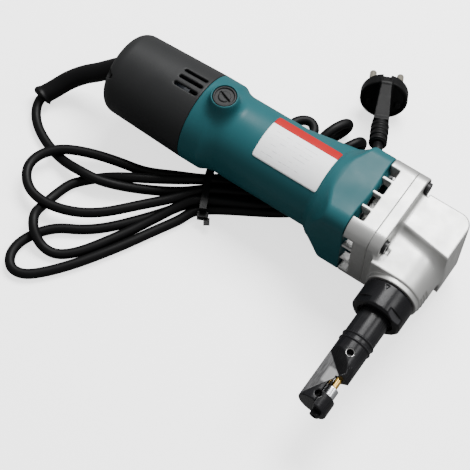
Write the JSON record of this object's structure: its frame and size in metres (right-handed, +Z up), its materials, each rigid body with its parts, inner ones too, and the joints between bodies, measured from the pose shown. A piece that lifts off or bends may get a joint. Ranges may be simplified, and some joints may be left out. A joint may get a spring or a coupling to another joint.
{
  "type": "nibbler tool",
  "caption": "Hand-held electric nibbler with barrel motor housing, cast right-angle head, lock nut, turnable die holder with punch and die, rubber cord and plug.",
  "frame": {"origin": "where the motor axis meets the flat front face of the cast head", "axes": "+X along the motor axis from the cord end towards the head, -Y the punching direction, +Z up with the tool lying on its side"},
  "size_m": [0.3089, 0.2747, 0.0792],
  "materials": {
    "teal_plastic": "fine moulded texture",
    "black_plastic": "fine moulded texture",
    "dark_plastic": "satin",
    "cast_alloy": "satin, blasted casting",
    "black_screw": "black oxide",
    "white_label": "smooth",
    "brass": "satin",
    "bronze": "satin",
    "carbon": "dull graphite",
    "bright_steel": "ground",
    "core_steel": "stacked laminations",
    "copper_wire": "varnished",
    "copper_bar": "turned",
    "grey_resin": "smooth",
    "black_rubber": "matte",
    "black_nylon": "smooth",
    "nickel_pin": "bright",
    "gear_steel": "hardened",
    "gold_coated_steel": "hard gold-coloured coating",
    "black_oxide_steel": "black oxide, satin"
  },
  "bodies": {
    "housing": {"motor_housing": "teal_plastic", "rear_cover": "black_plastic", "gear_housing_cover": "cast_alloy", "gear_housing": "cast_alloy", "housing_screws": "black_screw", "rear_cover_screws": "black_screw", "right_brush_cap": "black_plastic", "left_brush_cap": "black_plastic", "rating_label": "white_label", "brush_holders": "brass", "carbon_brushes": "carbon", "brush_springs": "bright_steel", "field_core": "core_steel", "near_field_coil": "copper_wire", "far_field_coil": "copper_wire", "baffle_plate": "black_plastic", "switch_body": "dark_plastic", "suppression_capacitor": "grey_resin", "cord_clamp": "dark_plastic", "cord_clamp_screws": "black_screw", "cord_guard": "black_rubber", "cord": "black_rubber", "cable_tie": "black_nylon", "plug_body": "black_rubber", "plug_pins": "nickel_pin", "rear_armature_bearing": "bright_steel", "front_armature_bearing": "bright_steel", "bearing_plate": "cast_alloy", "crank_bearing": "bright_steel", "front_needle_bearing": "bright_steel", "layshaft_bushes": "bronze", "nose_bush": "bright_steel"},
    "armature": {"armature_shaft": "bright_steel", "armature_core": "core_steel", "armature_winding": "copper_wire", "commutator": "copper_bar", "cooling_fan": "dark_plastic"},
    "layshaft": {"layshaft": "gear_steel", "layshaft_gear": "gear_steel"},
    "crank": {"output_gear": "gear_steel", "crankshaft": "gear_steel", "crank_journal": "gear_steel", "crank_pin_bearing": "bright_steel"},
    "ram": {"ram": "bright_steel", "wrist_pin": "bright_steel"},
    "rod": {"connecting_rod": "gear_steel"},
    "punch": {"punch": "gold_coated_steel"},
    "nose": {"die_holder": "black_oxide_steel", "die": "bright_steel", "die_screw": "black_oxide_steel"},
    "nut": {"lock_nut": "black_oxide_steel"},
    "switch": {"switch_knob": "black_plastic", "switch_link": "bright_steel"}
  },
  "joints": [
    {"name": "armature_spin", "type": "hinge", "parent": "housing", "child": "armature", "pos_m": [-0.1345, 0, 0], "axis": [1, 0, 0], "continuous": true},
    {"name": "layshaft_spin", "type": "hinge", "parent": "housing", "child": "layshaft", "pos_m": [-0.0415, 0.01034, 0.01034], "axis": [1, 0, 0], "continuous": true},
    {"name": "crank_spin", "type": "hinge", "parent": "housing", "child": "crank", "pos_m": [-0.0295, 0, 0], "axis": [1, 0, 0], "continuous": true},
    {"name": "ram_slide", "type": "slide", "parent": "housing", "child": "ram", "axis": [0, -1, 0], "range_m": [-0.00238, 0.00262]},
    {"name": "rod_swing", "type": "hinge", "parent": "ram", "child": "rod", "pos_m": [-0.0195, -0.02588, 0], "axis": [1, 0, 0], "range_deg": [-11.04, 0]},
    {"name": "punch_turn", "type": "hinge", "parent": "ram", "child": "punch", "pos_m": [-0.0195, -0.0615, 0], "axis": [0, -1, 0], "continuous": true},
    {"name": "nose_turn", "type": "hinge", "parent": "housing", "child": "nose", "pos_m": [-0.0195, -0.08, 0], "axis": [0, -1, 0], "continuous": true},
    {"name": "lock_nut_turn", "type": "hinge", "parent": "housing", "child": "nut", "pos_m": [-0.0195, -0.05, 0], "axis": [0, -1, 0], "continuous": true},
    {"name": "switch_slide", "type": "slide", "parent": "housing", "child": "switch", "axis": [1, 0, 0], "range_m": [0, 0.006]}
  ],
  "couplings": [
    {"joint": "layshaft_spin", "follows": "armature_spin", "ratio": -0.25806},
    {"joint": "crank_spin", "follows": "armature_spin", "ratio": 0.077419},
    {"joint": "punch_turn", "follows": "nose_turn", "ratio": 1}
  ]
}
